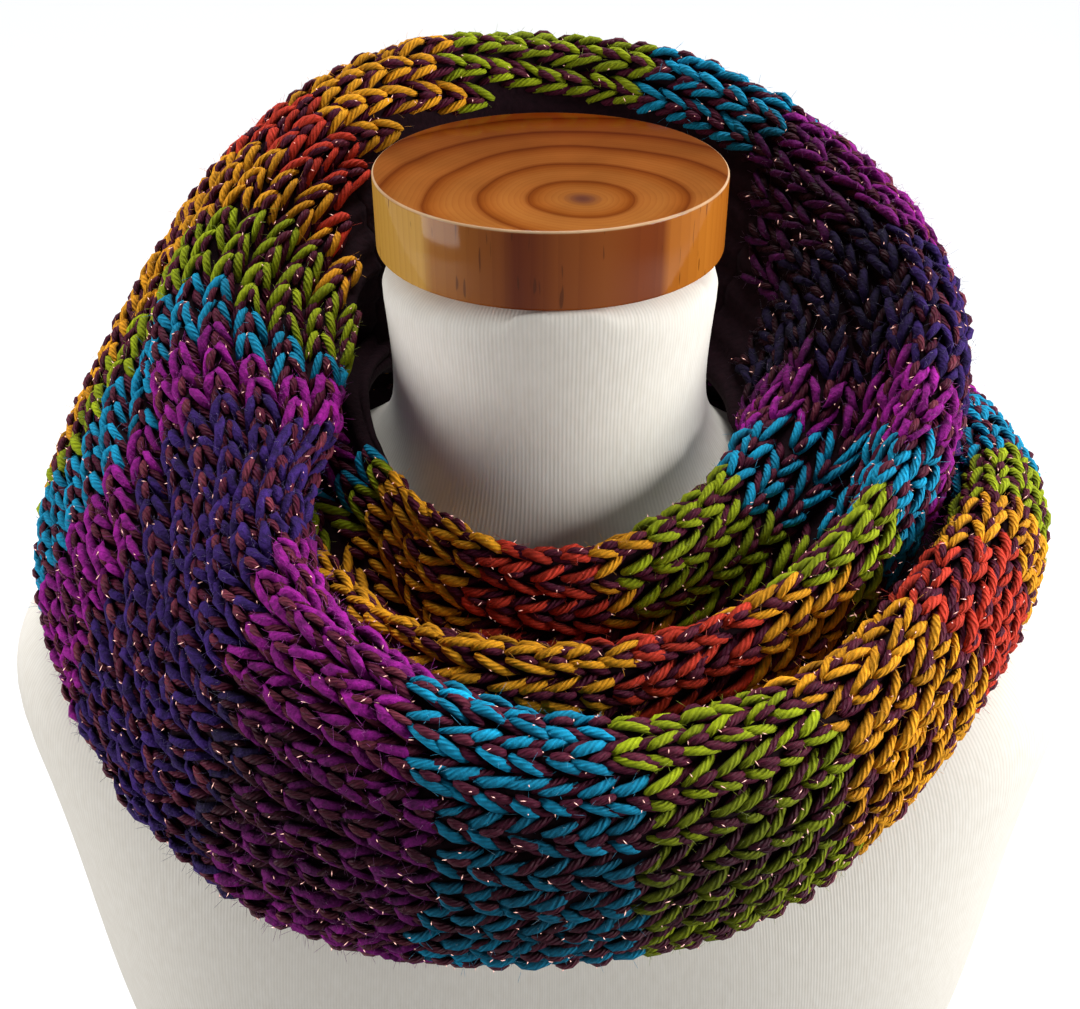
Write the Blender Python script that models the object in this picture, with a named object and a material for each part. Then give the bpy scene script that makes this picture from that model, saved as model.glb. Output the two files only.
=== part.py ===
"""A hand-knitted infinity scarf, wound twice round a limbless dress form with a turned wooden neck cap.

The scarf is one endless strip.  Its run is measured in degrees round the neck, called the turn: the
lower, outer wrap is turn -40 to 325 and the upper, inner wrap is turn 325 to 680, where the left strand
comes forward over the shoulder and becomes the lower wrap again, so that turn 680 is turn -40.
World axes are in metres, +Z up; the form's front faces -Y and the neck's axis is X = Y = 0.
"""
from math import atan2, cos, degrees, exp, hypot, pi, radians, sin

import bmesh
import bpy

for old in list(bpy.data.objects):
    bpy.data.objects.remove(old, do_unlink=True)

# ---- driving sizes, in metres ----
CM = 0.01
CAP_TOP = 0.640            # height of the cap's top face above the base
CAP_RADIUS = 0.0575
CAP_THICKNESS = 0.025
CAP_ROUNDING = 0.0022      # radius of the cap's two turned edges
CAP_SIDES = 48
FORM_SIDES = 40
FIT_GAP = 0.0003           # air left between neighbouring solids
WALES = 16                 # raised ribs across the strip
RIB_HEIGHT = 0.0022        # from the bottom of a groove to the top of a rib
CLOTH = 0.0045             # wall, over a rib
INSIDE_COLUMNS = 3         # steps of the plain inside between two named points of a section
FULL_RUN = 720.0           # two turns round the neck

# ---- the strip's cross-section at each turn ----
# Each point is (distance from the neck's axis, depth below the cap's top) in centimetres, on the line
# that joins the tops of the ribs, in order across the strip from the neck's side to the outer hem.
SECTION_COLUMNS = ("turn", "inner_edge", "inner_wall", "inner_fold", "groove", "crest",
                   "shoulder", "flank", "outer_edge")
SECTIONS = (
    (-30.0, (12.6, 13.8), (11.9, 11.8), (12.4, 9.4), (14.0, 9.2),
     (15.7, 11.2), (17.2, 14.9), (16.9, 19.1), (12.6, 21.1)),
    (0.0, (13.3, 15.6), (12.9, 13.2), (13.3, 11.3), (14.7, 11.3),
     (16.1, 13.3), (16.7, 16.6), (15.4, 20.0), (11.2, 21.9)),
    (30.0, (13.5, 15.4), (13.2, 13.1), (13.7, 11.3), (15.0, 11.3),
     (16.3, 13.1), (16.8, 15.9), (15.6, 19.3), (12.5, 20.9)),
    (60.0, (13.9, 13.9), (13.6, 11.6), (14.2, 9.6), (15.7, 9.7),
     (16.8, 11.4), (17.1, 13.8), (16.2, 16.0), (14.8, 16.5)),
    (90.0, (14.6, 13.2), (14.4, 11.2), (14.9, 9.6), (16.1, 9.4),
     (17.4, 10.4), (18.1, 12.0), (18.1, 13.7), (16.9, 14.7)),
    (120.0, (13.3, 12.4), (13.1, 10.8), (13.7, 9.4), (14.9, 9.1),
     (16.2, 10.0), (16.8, 11.8), (16.3, 13.7), (14.2, 15.0)),
    (150.0, (10.9, 12.3), (10.6, 10.4), (11.5, 8.7), (12.9, 8.2),
     (14.4, 9.1), (15.1, 11.2), (14.4, 13.8), (12.2, 15.2)),
    (180.0, (9.3, 12.0), (9.0, 10.1), (9.9, 8.5), (11.3, 8.0),
     (12.8, 8.9), (13.6, 11.1), (13.0, 13.8), (11.0, 15.2)),
    (210.0, (8.6, 11.4), (8.3, 9.9), (9.2, 8.6), (10.6, 8.3),
     (12.1, 9.1), (13.1, 10.9), (12.9, 13.0), (11.4, 14.2)),
    (240.0, (7.2, 9.9), (6.7, 8.7), (7.6, 7.9), (9.3, 8.2),
     (11.0, 9.0), (12.5, 10.2), (13.2, 11.7), (12.4, 12.8)),
    (270.0, (6.5, 9.3), (6.0, 8.4), (6.7, 7.7), (8.3, 8.0),
     (10.2, 8.8), (11.8, 9.6), (12.9, 10.8), (12.4, 11.9)),
    (300.0, (6.8, 9.9), (6.1, 8.8), (6.9, 8.2), (8.7, 10.2),
     (10.2, 9.8), (11.5, 10.4), (12.3, 11.6), (12.1, 12.9)),
    (315.0, (7.0, 10.6), (6.4, 9.4), (7.3, 8.7), (8.7, 11.4),
     (9.9, 10.6), (10.8, 11.3), (11.2, 12.8), (10.9, 14.2)),
    (330.0, (7.2, 11.2), (6.7, 9.8), (7.7, 9.2), (9.0, 12.6),
     (10.4, 10.8), (11.4, 11.6), (11.8, 13.4), (11.5, 15.4)),
    (360.0, (7.3, 11.6), (7.4, 9.9), (8.4, 9.6), (9.3, 13.0),
     (10.7, 10.8), (11.8, 11.6), (12.3, 13.6), (12.2, 16.0)),
    (390.0, (7.4, 10.6), (7.4, 8.9), (8.6, 9.2), (9.7, 12.6),
     (11.1, 10.3), (12.2, 11.2), (12.6, 13.2), (12.5, 15.4)),
    (420.0, (6.7, 9.9), (7.2, 7.9), (8.8, 8.4), (10.7, 9.8),
     (12.1, 7.5), (13.3, 8.4), (13.4, 10.8), (12.9, 13.2)),
    (450.0, (6.1, 8.9), (7.4, 7.4), (8.6, 5.7), (10.3, 4.9),
     (12.2, 3.5), (14.1, 4.6), (14.6, 7.8), (13.9, 11.5)),
    (480.0, (6.0, 8.7), (7.6, 6.6), (8.8, 3.6), (10.1, 1.6),
     (11.7, 0.8), (13.4, 1.9), (14.0, 4.8), (13.6, 7.9)),
    (510.0, (6.1, 8.6), (7.9, 5.9), (8.8, 2.5), (9.8, 0.1),
     (11.1, -1.0), (12.5, 0.3), (13.3, 3.2), (13.2, 7.2)),
    (540.0, (6.5, 8.7), (8.1, 5.6), (8.9, 2.2), (9.8, -0.4),
     (11.1, -1.5), (12.5, -0.2), (13.4, 2.9), (13.3, 7.5)),
    (570.0, (7.0, 8.3), (7.9, 5.3), (8.7, 2.0), (9.9, -0.8),
     (11.4, -1.5), (13.0, -0.1), (14.2, 3.3), (14.2, 8.3)),
    (600.0, (7.6, 6.8), (7.1, 5.0), (8.1, 2.8), (10.2, 0.8),
     (12.6, 0.8), (14.8, 2.9), (15.7, 6.6), (16.2, 10.3)),
    (630.0, (7.0, 6.6), (6.6, 5.6), (8.4, 4.7), (11.1, 4.1),
     (14.0, 5.3), (16.5, 8.2), (18.5, 11.6), (17.9, 14.2)),
    (660.0, (8.4, 8.4), (7.8, 7.2), (9.4, 6.5), (11.8, 7.1),
     (14.3, 9.1), (16.8, 12.0), (18.1, 15.4), (16.8, 17.1)),
    (675.0, (10.8, 9.6), (10.3, 8.7), (11.0, 7.8), (12.9, 8.2),
     (15.0, 10.3), (17.0, 13.6), (17.7, 17.3), (14.6, 19.8)),
)

# Soft creases pressed into a stretch: where it is deepest across the strip (share of the width) at
# its first and last turn, how deep and how wide in centimetres.
CREASE_COLUMNS = ("first_turn", "last_turn", "first_share", "last_share", "depth", "width")
CREASES = (
    (608.0, 668.0, 0.57, 0.43, 0.65, 1.10),
)

# ---- the dress form: depth below the cap's top, half width, depth to the front, depth to the back in
# centimetres, and how square the section is (2 is an ellipse) ----
FORM_COLUMNS = ("drop", "half_width", "front", "back", "squareness")
FORM_SECTIONS = (
    (2.53, 5.50, 5.50, 5.50, 2.0),
    (4.2, 5.46, 5.46, 5.46, 2.0),
    (6.2, 5.45, 5.45, 5.45, 2.0),
    (7.6, 5.48, 5.46, 5.46, 2.0),
    (8.6, 5.62, 5.52, 5.52, 2.0),
    (9.6, 6.15, 5.75, 5.80, 2.0),
    (10.4, 7.10, 6.05, 6.20, 2.0),
    (11.2, 8.60, 6.35, 6.70, 2.0),
    (12.1, 10.8, 6.70, 7.20, 2.0),
    (13.0, 12.9, 7.10, 7.70, 2.0),
    (14.0, 15.1, 7.60, 8.30, 2.0),
    (15.0, 17.2, 8.20, 8.80, 2.1),
    (16.0, 18.9, 8.80, 9.15, 2.2),
    (17.2, 20.2, 9.40, 9.45, 2.3),
    (18.8, 20.8, 10.1, 9.70, 2.4),
    (20.6, 20.6, 10.8, 9.85, 2.4),
    (22.8, 20.1, 11.4, 9.95, 2.4),
    (26.0, 19.6, 12.0, 10.0, 2.4),
    (30.0, 19.3, 12.4, 9.80, 2.4),
    (35.0, 19.0, 12.2, 9.45, 2.35),
    (40.0, 18.5, 11.6, 9.10, 2.3),
    (45.0, 18.0, 10.9, 8.90, 2.25),
    (50.0, 17.7, 10.5, 9.10, 2.2),
    (55.0, 17.8, 10.5, 9.80, 2.2),
    (60.0, 18.2, 10.9, 10.5, 2.2),
    (63.6, 18.4, 11.2, 11.0, 2.2),
    (64.0, 18.0, 10.8, 10.6, 2.2),
)
FORM_LEAN = -0.3           # the torso sits this far (cm) to one side of the neck's axis

# ---- the stretches that show, each a solid of its own: first turn, last turn, stations ----
STRETCHES = {
    "scarf_front_wrap": (-40.0, 50.0, 11),
    "scarf_right_wrap": (50.0, 125.0, 9),
    "scarf_back_wrap": (125.0, 235.0, 9),
    "scarf_left_under_wrap": (235.0, 325.0, 8),
    "scarf_inner_front": (325.0, 400.0, 9),
    "scarf_right_rise": (400.0, 485.0, 10),
    "scarf_back_collar": (485.0, 595.0, 12),
    "scarf_left_strand": (595.0, 680.0, 10),
}

# ---- plain colours of the solids, sRGB hex, and roughness ----
COLOURS = {
    "scarf_front_wrap": ("5a2a78", 0.9),
    "scarf_right_wrap": ("c08f1f", 0.9),
    "scarf_back_wrap": ("0f8fb0", 0.9),
    "scarf_left_under_wrap": ("6a1a78", 0.9),
    "scarf_inner_front": ("b0701f", 0.9),
    "scarf_right_rise": ("4a2068", 0.9),
    "scarf_back_collar": ("8a9a1f", 0.9),
    "scarf_left_strand": ("6a1c80", 0.9),
    "form_torso": ("e6e2d8", 0.85),
    "form_neck_cap": ("b9742f", 0.35),
}


def blend(before, start, end, after, share, gaps=(1.0, 1.0, 1.0)):
    """Smooth value between start and end; gaps are the steps between the four values."""
    leave = (end - before) / (gaps[0] + gaps[1]) * gaps[1]
    arrive = (after - start) / (gaps[1] + gaps[2]) * gaps[1]
    return (start * (2 * share ** 3 - 3 * share ** 2 + 1) + leave * (share ** 3 - 2 * share ** 2 + share)
            + end * (3 * share ** 2 - 2 * share ** 3) + arrive * (share ** 3 - share ** 2))


def section_points(turn):
    """The eight named points of the strip at a turn, as (radius, drop) in centimetres."""
    first = SECTIONS[0][0]
    place = (turn - first) % FULL_RUN + first
    count = len(SECTIONS)
    index = max(i for i in range(count) if SECTIONS[i][0] <= place)
    near = [SECTIONS[(index + step) % count] for step in (-1, 0, 1, 2)]
    gaps = [(after[0] - before[0]) % FULL_RUN for before, after in zip(near, near[1:])]
    share = (place - near[1][0]) / gaps[1]
    points = []
    for column in range(1, len(SECTION_COLUMNS)):
        points.append(tuple(blend(*(row[column][axis] for row in near), share, gaps) for axis in (0, 1)))
    return points


def smooth_line(points, steps=12):
    """A smooth line through the points, with the places of the points themselves along it."""
    first = tuple(2 * a - b for a, b in zip(points[0], points[1]))
    last = tuple(2 * a - b for a, b in zip(points[-1], points[-2]))
    chain = [first] + list(points) + [last]
    line = []
    for i in range(len(points) - 1):
        for step in range(steps):
            line.append(tuple(blend(*(chain[i + k][axis] for k in range(4)), step / steps)
                              for axis in (0, 1)))
    line.append(points[-1])
    return line


def lengths_along(line):
    """Distance along a line at each of its points."""
    total = [0.0]
    for a, b in zip(line, line[1:]):
        total.append(total[-1] + hypot(b[0] - a[0], b[1] - a[1]))
    return total


def point_at(line, along, distance):
    """The point a given distance along a line."""
    distance = min(max(distance, 0.0), along[-1])
    index = max(i for i in range(len(along) - 1) if along[i] <= distance)
    share = (distance - along[index]) / (along[index + 1] - along[index])
    return tuple(a + (b - a) * share for a, b in zip(line[index], line[index + 1]))


def outward_at(line, along, distance, reach=0.12):
    """The direction out of the cloth at a distance along a line."""
    a = point_at(line, along, distance - reach)
    b = point_at(line, along, distance + reach)
    size = hypot(b[0] - a[0], b[1] - a[1])
    return ((b[1] - a[1]) / size, (a[0] - b[0]) / size)


def bend_at(line, along, distance, reach=0.45):
    """How tightly the line bends, per centimetre: above 0 round a fold, below 0 in a groove."""
    a = point_at(line, along, distance - reach)
    b = point_at(line, along, distance)
    c = point_at(line, along, distance + reach)
    turned = atan2(c[1] - b[1], c[0] - b[0]) - atan2(b[1] - a[1], b[0] - a[0])
    turned = (turned + pi) % (2 * pi) - pi
    step = 0.5 * (hypot(b[0] - a[0], b[1] - a[1]) + hypot(c[0] - b[0], c[1] - b[1]))
    return turned / step


def wall_at(line, along, distance):
    """Thickness of the cloth over a rib: thinner round a tight fold, fuller in a groove, in cm."""
    bend = bend_at(line, along, distance)
    if bend < 0.0:
        return CLOTH / CM * (1.0 + 0.45 * min(1.0, -bend))
    return max(0.18, min(CLOTH / CM, 0.5 / max(bend, 0.01)))


def crease_depth(turn, share, width):
    """How far a crease presses the cloth in, in centimetres."""
    depth = 0.0
    for first_turn, last_turn, first_share, last_share, deepest, spread in CREASES:
        run = (turn - first_turn) / (last_turn - first_turn)
        if 0.0 < run < 1.0:
            middle = first_share + (last_share - first_share) * run
            off = (share - middle) * width / spread
            depth += deepest * min(1.0, 5.0 * run) * min(1.0, 2.2 * (1.0 - run)) * exp(-off * off)
    return depth


def creased_line(turn):
    """The strip's smooth section line at a turn, with its creases pressed in."""
    line = smooth_line(section_points(turn))
    along = lengths_along(line)
    pressed = []
    for point, distance in zip(line, along):
        depth = crease_depth(turn, distance / along[-1], along[-1])
        out = outward_at(line, along, distance)
        pressed.append((point[0] - out[0] * depth, point[1] - out[1] * depth))
    return pressed


def form_size(drop):
    """Half width, front depth, back depth and squareness of the form at a drop."""
    rows = FORM_SECTIONS
    for low, high in zip(rows, rows[1:]):
        if drop <= high[0]:
            share = max(0.0, (drop - low[0]) / (high[0] - low[0]))
            return [a + (b - a) * share for a, b in zip(low[1:], high[1:])]
    return list(rows[-1][1:])


def form_shift(drop):
    """How far the torso has moved to the side at a drop."""
    return FORM_LEAN * min(max((drop - 9.0) / 8.0, 0.0), 1.0)


def form_radius(azimuth, drop):
    """Distance from the torso's own axis to its surface."""
    half_width, front, back, square = form_size(drop)
    side = abs(sin(radians(azimuth))) / half_width
    ahead = abs(cos(radians(azimuth))) / (front if cos(radians(azimuth)) > 0 else back)
    return (side ** square + ahead ** square) ** (-1.0 / square)


def bulge_past_step(azimuth, drop):
    """How far the form swells past a straight step of the cloth to either side, 10 degrees long."""
    here = form_radius(azimuth, drop)
    most = 0.0
    for way in (-1.0, 1.0):
        far = form_radius(azimuth + 10.0 * way, drop)
        step = 2.0 * here * far * cos(radians(5.0)) / (here + far)
        most = max(most, form_radius(azimuth + 5.0 * way, drop) - step)
    return most


def clear_of_form(azimuth, point):
    """Moves a point of the cloth out until it rests just clear of the form."""
    radius, drop = point
    shift = form_shift(drop) * sin(radians(azimuth))
    least = form_radius(azimuth, drop) + shift + FIT_GAP / CM + 1.2 * bulge_past_step(azimuth, drop)
    return (max(radius, least), drop)


def strip_ring(turn):
    """One closed ring round the wall of the strip: ribbed outside, then the plain inside back."""
    line = creased_line(turn)
    along = lengths_along(line)
    width = along[-1]

    def below(distance, depth):
        point = point_at(line, along, distance)
        out = outward_at(line, along, distance)
        return (point[0] - out[0] * depth, point[1] - out[1] * depth)

    outside = []
    for wale in range(WALES):
        groove = wale / WALES * width
        outside.append(below(groove, min(RIB_HEIGHT / CM, 0.5 * wall_at(line, along, groove))))
        outside.append(below((wale + 0.3) / WALES * width, 0.0))
        outside.append(below((wale + 0.7) / WALES * width, 0.0))
    outside.append(below(width, RIB_HEIGHT / CM))
    inside = []
    columns = INSIDE_COLUMNS * (len(SECTION_COLUMNS) - 2)
    for column in range(columns + 1):
        distance = along[round(column * (len(line) - 1) / columns)]
        inside.append(below(distance, wall_at(line, along, distance)))
    return [clear_of_form(turn, point) for point in outside + inside[::-1]]


def world(azimuth, radius, drop, slip=0.0):
    """World position of a point of a section; slip moves it (metres) along the run."""
    angle = radians(azimuth) + slip / (radius * CM)
    return (radius * CM * sin(angle), -radius * CM * cos(angle), CAP_TOP - drop * CM)


def fill_ring(mesh, ring):
    """Fills a flat ring with triangles that zigzag between its first points and its last ones."""
    low, high = 0, len(ring) - 1
    while high - low > 1:
        ahead = (ring[low + 1].co - ring[high].co).length
        behind = (ring[low].co - ring[high - 1].co).length
        if ahead <= behind:
            mesh.faces.new((ring[low], ring[low + 1], ring[high]))
            low += 1
        else:
            mesh.faces.new((ring[low], ring[high - 1], ring[high]))
            high -= 1


def solid_from_rings(name, rings):
    """A closed solid through successive closed rings, with a flat face at each end."""
    mesh = bmesh.new()
    loops = [[mesh.verts.new(point) for point in ring] for ring in rings]
    count = len(rings[0])
    fill_ring(mesh, loops[0])
    fill_ring(mesh, loops[-1])
    for near, far in zip(loops, loops[1:]):
        for i in range(count):
            j = (i + 1) % count
            mesh.faces.new((near[i], near[j], far[j], far[i]))
    bmesh.ops.recalc_face_normals(mesh, faces=mesh.faces)
    if mesh.calc_volume(signed=True) < 0.0:
        bmesh.ops.reverse_faces(mesh, faces=mesh.faces)
    data = bpy.data.meshes.new(name)
    mesh.to_mesh(data)
    mesh.free()
    body = bpy.data.objects.new(name, data)
    bpy.context.collection.objects.link(body)
    finish = bpy.data.materials.new(name + "_finish")
    finish.use_nodes = True
    shader = finish.node_tree.nodes["Principled BSDF"]
    hex_colour, roughness = COLOURS[name]
    channels = [int(hex_colour[i:i + 2], 16) / 255 for i in (0, 2, 4)]
    linear = [c / 12.92 if c <= 0.04045 else ((c + 0.055) / 1.055) ** 2.4 for c in channels]
    shader.inputs["Base Color"].default_value = (*linear, 1.0)
    shader.inputs["Roughness"].default_value = roughness
    finish.diffuse_color = (*linear, 1.0)
    data.materials.append(finish)
    return body


# ---- the scarf: rings of the strip's section along each stretch ----
for name, (first_turn, last_turn, stations) in STRETCHES.items():
    rings = []
    for station in range(stations):
        turn = first_turn + (last_turn - first_turn) * station / (stations - 1)
        slip = 0.5 * FIT_GAP * ((station == 0) - (station == stations - 1))
        rings.append([world(turn, radius, drop, slip) for radius, drop in strip_ring(turn)])
    solid_from_rings(name, rings)

# ---- the dress form: torso and neck in one, flat underneath ----
rings = []
for drop, *_ in FORM_SECTIONS:
    ring = []
    for side in range(FORM_SIDES):
        azimuth = 360.0 * side / FORM_SIDES
        x, y, z = world(azimuth, form_radius(azimuth, drop), drop)
        ring.append((x + form_shift(drop) * CM, y, z))
    rings.append(ring)
solid_from_rings("form_torso", rings)

# ---- the neck cap: a turned disc with its two edges rounded over ----
profile = []
for step in range(4):
    angle = radians(90.0 * step / 3)
    profile.append((CAP_RADIUS - CAP_ROUNDING * (1.0 - sin(angle)), CAP_ROUNDING * (1.0 - cos(angle))))
profile += [(radius, CAP_THICKNESS - drop) for radius, drop in profile[::-1]]
rings = []
for radius, drop in profile:
    rings.append([world(360.0 * side / CAP_SIDES, radius / CM, drop / CM) for side in range(CAP_SIDES)])
solid_from_rings("form_neck_cap", rings)
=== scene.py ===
"""Looks of a hand-knitted infinity scarf, wound twice round a limbless dress form with a wooden neck cap."""
from math import pi, radians

import bmesh
import bpy
import numpy as np
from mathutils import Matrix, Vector


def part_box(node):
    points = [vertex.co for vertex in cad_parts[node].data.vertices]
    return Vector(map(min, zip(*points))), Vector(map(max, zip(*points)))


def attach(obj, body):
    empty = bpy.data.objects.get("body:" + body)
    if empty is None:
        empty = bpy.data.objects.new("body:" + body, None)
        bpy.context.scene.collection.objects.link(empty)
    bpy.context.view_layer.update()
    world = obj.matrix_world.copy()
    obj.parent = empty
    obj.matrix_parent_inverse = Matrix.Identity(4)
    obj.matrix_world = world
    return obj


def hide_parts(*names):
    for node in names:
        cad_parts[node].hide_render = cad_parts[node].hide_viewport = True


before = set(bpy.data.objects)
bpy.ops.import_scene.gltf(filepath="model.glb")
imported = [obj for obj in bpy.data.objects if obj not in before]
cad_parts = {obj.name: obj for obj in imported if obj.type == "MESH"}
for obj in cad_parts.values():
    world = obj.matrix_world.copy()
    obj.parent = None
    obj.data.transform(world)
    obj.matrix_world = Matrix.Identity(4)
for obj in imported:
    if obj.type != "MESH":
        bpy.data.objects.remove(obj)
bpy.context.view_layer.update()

MM = 0.001
CM = 0.01

# ---- camera and room ----
# A pale studio: a floor that runs out of sight in a dim white room, a broad soft light from above and
# a little behind, and a weak one at each side. The floor throws no light up into the cloth, so that its
# folds stay deep.
CAMERA_PLACE = (0.0, -0.4246, 0.7844)
CAMERA_TILT = 57.111              # degrees up from straight down
CAMERA_TURN = 0.454
LENS_MM = 45.0
SENSOR_MM = 36.0
FLOOR_HALF = 14.0
SCARF_MIDDLE = (0.0, 0.0, 0.5)    # what the lamps are turned to
ROOM_LIGHT = 0.09                 # on the cloth
WALL_LIGHT = 0.98                 # as the walls look behind it
SKY_LIGHT = 3.5                   # watts a square metre, from above
SKY_SPREAD = 45.0                 # degrees across, which sets how soft the shadows are
SKY_FROM = (0.06, 0.26, 1.0)
RIGHT_LIGHT = (32.0, 0.8, (1.5, -0.35, 0.80))     # watts, width in metres, place
LEFT_LIGHT = (18.5, 0.8, (-1.5, -0.50, 0.50))


def linear(hex_colour):
    """An sRGB hex colour as the linear RGBA that shaders and attributes take."""
    channels = [int(hex_colour[i:i + 2], 16) / 255 for i in (1, 3, 5)]
    return tuple([c / 12.92 if c <= 0.04045 else ((c + 0.055) / 1.055) ** 2.4 for c in channels] + [1.0])


def add_node(owner, kind, sockets=(), stops=(), **settings):
    """Adds a shader node; each socket gets a value, or a link from another node's output.

    kind is the node's type without its ShaderNode, and stops are a ramp's places and colours.
    """
    node = owner.node_tree.nodes.new("ShaderNode" + kind)
    for name, value in settings.items():
        setattr(node, name, value)
    for name, value in dict(sockets).items():
        if isinstance(value, bpy.types.NodeSocket):
            owner.node_tree.links.new(value, node.inputs[name])
        else:
            node.inputs[name].default_value = value
    for stop, hex_colour in stops:
        node.color_ramp.elements.new(stop).color = linear(hex_colour)
    if stops:
        node.color_ramp.elements.remove(node.color_ramp.elements[0])
        node.color_ramp.elements.remove(node.color_ramp.elements[-1])
    return node


def new_material(name, sockets):
    """A material with a Principled shader, and that shader."""
    material = bpy.data.materials.new(name)
    material.use_nodes = True
    shader = material.node_tree.nodes["Principled BSDF"]
    for socket, value in sockets.items():
        shader.inputs[socket].default_value = value
    return material, shader


def put_in_scene(name, content):
    """A new object of the scene that shows a mesh, a lamp or a camera."""
    thing = bpy.data.objects.new(name, content)
    bpy.context.scene.collection.objects.link(thing)
    return thing


def new_piece(name, shape, material):
    """Turns a bmesh into a smooth object of the scene."""
    mesh = bpy.data.meshes.new(name)
    shape.to_mesh(mesh)
    shape.free()
    mesh.polygons.foreach_set("use_smooth", [True] * len(mesh.polygons))
    mesh.materials.append(material)
    return put_in_scene(name, mesh)


lens = bpy.data.cameras.new("camera")
lens.lens = LENS_MM
lens.sensor_width = SENSOR_MM
lens.clip_start = 2 * CM
camera = put_in_scene("camera", lens)
camera.location = CAMERA_PLACE
camera.rotation_euler = (radians(CAMERA_TILT), 0.0, radians(CAMERA_TURN))
bpy.context.scene.camera = camera

# Matt white paint: no gloss, so that the floor and the room run together.
paint, _ = new_material("matt_white_paint", {"Base Color": linear("#f4f5f7"), "Roughness": 1.0,
                                             "Specular IOR Level": 0.0})
floor_shape = bmesh.new()
bmesh.ops.create_grid(floor_shape, x_segments=1, y_segments=1, size=FLOOR_HALF)
floor = new_piece("floor", floor_shape, paint)
floor.visible_diffuse = False

room = bpy.data.worlds.new("white_room")
room.use_nodes = True
walls = room.node_tree.nodes["Background"]
walls.inputs["Color"].default_value = linear("#f4f6fb")
seen = add_node(room, "LightPath")
room_light = add_node(room, "MapRange", {
    "Value": seen.outputs["Is Camera Ray"], "To Min": ROOM_LIGHT, "To Max": WALL_LIGHT})
room.node_tree.links.new(room_light.outputs["Result"], walls.inputs["Strength"])
bpy.context.scene.world = room
bpy.context.scene.view_settings.view_transform = "Standard"


def add_light(name, kind, place, settings):
    """A lamp at a place, turned to the middle of the scarf."""
    lamp = bpy.data.lights.new(name, kind)
    for setting, value in settings.items():
        setattr(lamp, setting, value)
    light = put_in_scene(name, lamp)
    light.location = place
    light.rotation_euler = (Vector(SCARF_MIDDLE) - light.location).to_track_quat("-Z", "Y").to_euler()


add_light("light_from_above", "SUN", SKY_FROM, {"energy": SKY_LIGHT, "angle": radians(SKY_SPREAD)})
for side, (watts, width, lamp_place) in (("right", RIGHT_LIGHT), ("left", LEFT_LIGHT)):
    add_light("light_at_" + side, "AREA", lamp_place, {"energy": watts, "size": width})

# ---- torso ----
# The limbless dress form: a hard shell under a tight tube of ivory rib jersey, pulled smooth over the
# shoulders and tucked up under the wooden cap.
JERSEY_RIBS = 880                 # ribs round the torso, 1.2 mm apart at the chest
NECK_RIBS = 264                   # and round the neck
NECK_BASE = (0.515, 0.525)        # the heights between which the ribs are gathered
JERSEY_SLUB = 7.0                 # mm, length of the yarn's thicker places
NECK_FLARE = 3.2                  # mm, how much wider the tube is where it is tucked under the cap
FLARE_FOOT = 0.560                # height at which it begins to widen
FLARE_HEIGHT = 0.050
FLAT_ENDS = 0.02                  # the flare leaves alone what is nearer the neck's axis
RIB_WAVE = 2 * pi / 20            # the Wave texture's scale that draws one rib to a unit


def torso_copy():
    """The CAD torso with its doubles merged, its triangles joined into quads and its neck flared."""
    shape = bmesh.new()
    shape.from_mesh(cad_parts["form_torso"].data)
    bmesh.ops.remove_doubles(shape, verts=shape.verts, dist=0.02 * MM)
    bmesh.ops.join_triangles(shape, faces=shape.faces, angle_face_threshold=radians(25),
                             angle_shape_threshold=radians(180))
    for corner in shape.verts:
        height = float(np.clip((corner.co.z - FLARE_FOOT) / FLARE_HEIGHT, 0.0, 1.0))
        reach = Vector((corner.co.x, corner.co.y, 0.0))
        if reach.length > FLAT_ENDS:
            corner.co += reach.normalized() * NECK_FLARE * MM * height ** 2
    return shape


# Cotton jersey: knitted in fine ribs, matt, with a soft bloom of fibre and faint upright slubs. The ribs
# are counted round the neck's axis, and there are fewer of them on the neck, where the tube is gathered.
jersey, jersey_shader = new_material("ivory_cotton_jersey", {"Roughness": 0.92, "Specular IOR Level": 0.25,
                                                             "Sheen Weight": 0.25, "Sheen Roughness": 0.5})
on_torso = add_node(jersey, "TexCoord")
axes = add_node(jersey, "SeparateXYZ", {"Vector": on_torso.outputs["Object"]})
behind = add_node(jersey, "Math", {0: axes.outputs["Y"], 1: -1.0}, operation="MULTIPLY")
angle = add_node(jersey, "Math", {0: axes.outputs["X"], 1: behind.outputs[0]}, operation="ARCTAN2")
turns = add_node(jersey, "Math", {0: angle.outputs[0], 1: 1 / (2 * pi)}, operation="MULTIPLY")
rib_count = add_node(jersey, "MapRange", {
    "Value": axes.outputs["Z"], "From Min": NECK_BASE[0], "From Max": NECK_BASE[1],
    "To Min": float(JERSEY_RIBS), "To Max": float(NECK_RIBS)})
rib_turn = add_node(jersey, "Math", {0: turns.outputs[0], 1: rib_count.outputs[0]}, operation="MULTIPLY")
rib_place = add_node(jersey, "CombineXYZ", {"X": rib_turn.outputs[0], "Y": axes.outputs["Z"]})
ribs = add_node(jersey, "TexWave", {"Vector": rib_place.outputs[0], "Scale": RIB_WAVE, "Distortion": 0.0},
                wave_type="BANDS", bands_direction="X")
slub_map = add_node(jersey, "Mapping", {
    "Vector": rib_place.outputs[0], "Scale": (0.5, 1 / (JERSEY_SLUB * MM), 1.0)})
slubs = add_node(jersey, "TexNoise", {"Vector": slub_map.outputs["Vector"], "Scale": 1.0, "Detail": 2.0})
tint = add_node(jersey, "Mix", {
    0: slubs.outputs["Fac"], 6: linear("#ece5d8"), 7: linear("#fbf6ec")}, data_type="RGBA")
# Painted shade: the tint is a little darker in each rib's groove.
rib_shaded_tint = add_node(jersey, "Mix", {
    0: 0.08, 6: tint.outputs[2], 7: ribs.outputs["Color"]}, data_type="RGBA", blend_type="MULTIPLY")
relief = add_node(jersey, "Math", {0: ribs.outputs["Fac"], 1: slubs.outputs["Fac"]}, operation="ADD")
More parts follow.
